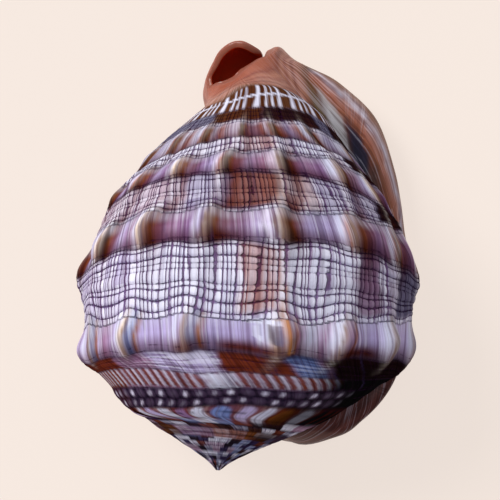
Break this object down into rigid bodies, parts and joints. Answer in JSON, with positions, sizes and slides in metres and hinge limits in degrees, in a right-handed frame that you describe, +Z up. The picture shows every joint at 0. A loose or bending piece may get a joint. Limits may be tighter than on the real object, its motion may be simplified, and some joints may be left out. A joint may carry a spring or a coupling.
{
  "type": "helmet shell",
  "caption": "Large knobbed helmet sea shell lying on its toothed aperture, with a low spire, a thick rolled lip and an upturned canal; stands on a shelf or a table as it is.",
  "frame": {"origin": "centre of the shell's box in plan, on the plane that the lip and the shield rest on", "axes": "+Y from the spire towards the canal, +X towards the outer lip, +Z up"},
  "size_m": [0.1186, 0.151, 0.0901],
  "materials": {
    "shell": "natural shell lime: cream and lavender cords and beads over brown and violet blocks, satin back, glossy orange-brown lip and shield"
  },
  "bodies": {
    "root": {"shell": "shell"}
  },
  "joints": []
}
